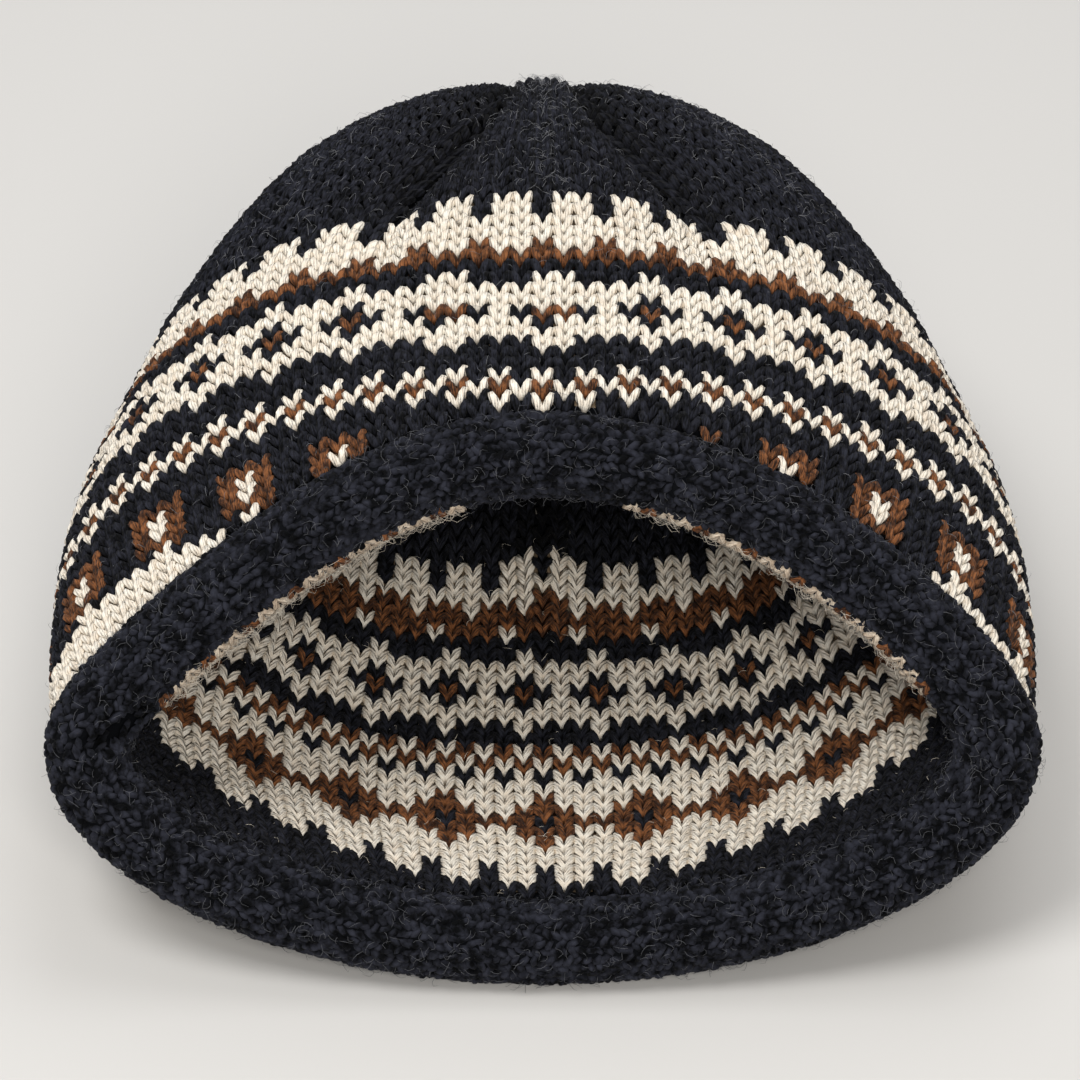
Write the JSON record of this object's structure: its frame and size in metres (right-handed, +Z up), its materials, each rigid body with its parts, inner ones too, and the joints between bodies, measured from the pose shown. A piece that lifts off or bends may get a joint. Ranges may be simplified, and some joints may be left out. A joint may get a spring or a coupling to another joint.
{
  "type": "fair isle beanie",
  "caption": "Double knitted wool beanie with a thick rolled brim, bands of stranded colour work and a gored crown, lying on its back with its mouth open.",
  "frame": {"origin": "on the surface that the hat lies on, under the middle of its box", "axes": "+Z up from the surface, -Y out of the mouth, +Y towards the apex of the crown, +X to the right as seen from the mouth"},
  "size_m": [0.2272, 0.2359, 0.123],
  "materials": {
    "navy_wool": "matte, slightly fuzzy knitted wool",
    "pattern_wool": "matte, slightly fuzzy stranded knitting in cream, rust and navy wool"
  },
  "bodies": {
    "root": {"rolled_brim": "navy_wool", "fair_isle_band": "pattern_wool", "crown": "navy_wool", "inner_band": "pattern_wool", "inner_crown": "navy_wool"}
  },
  "joints": []
}
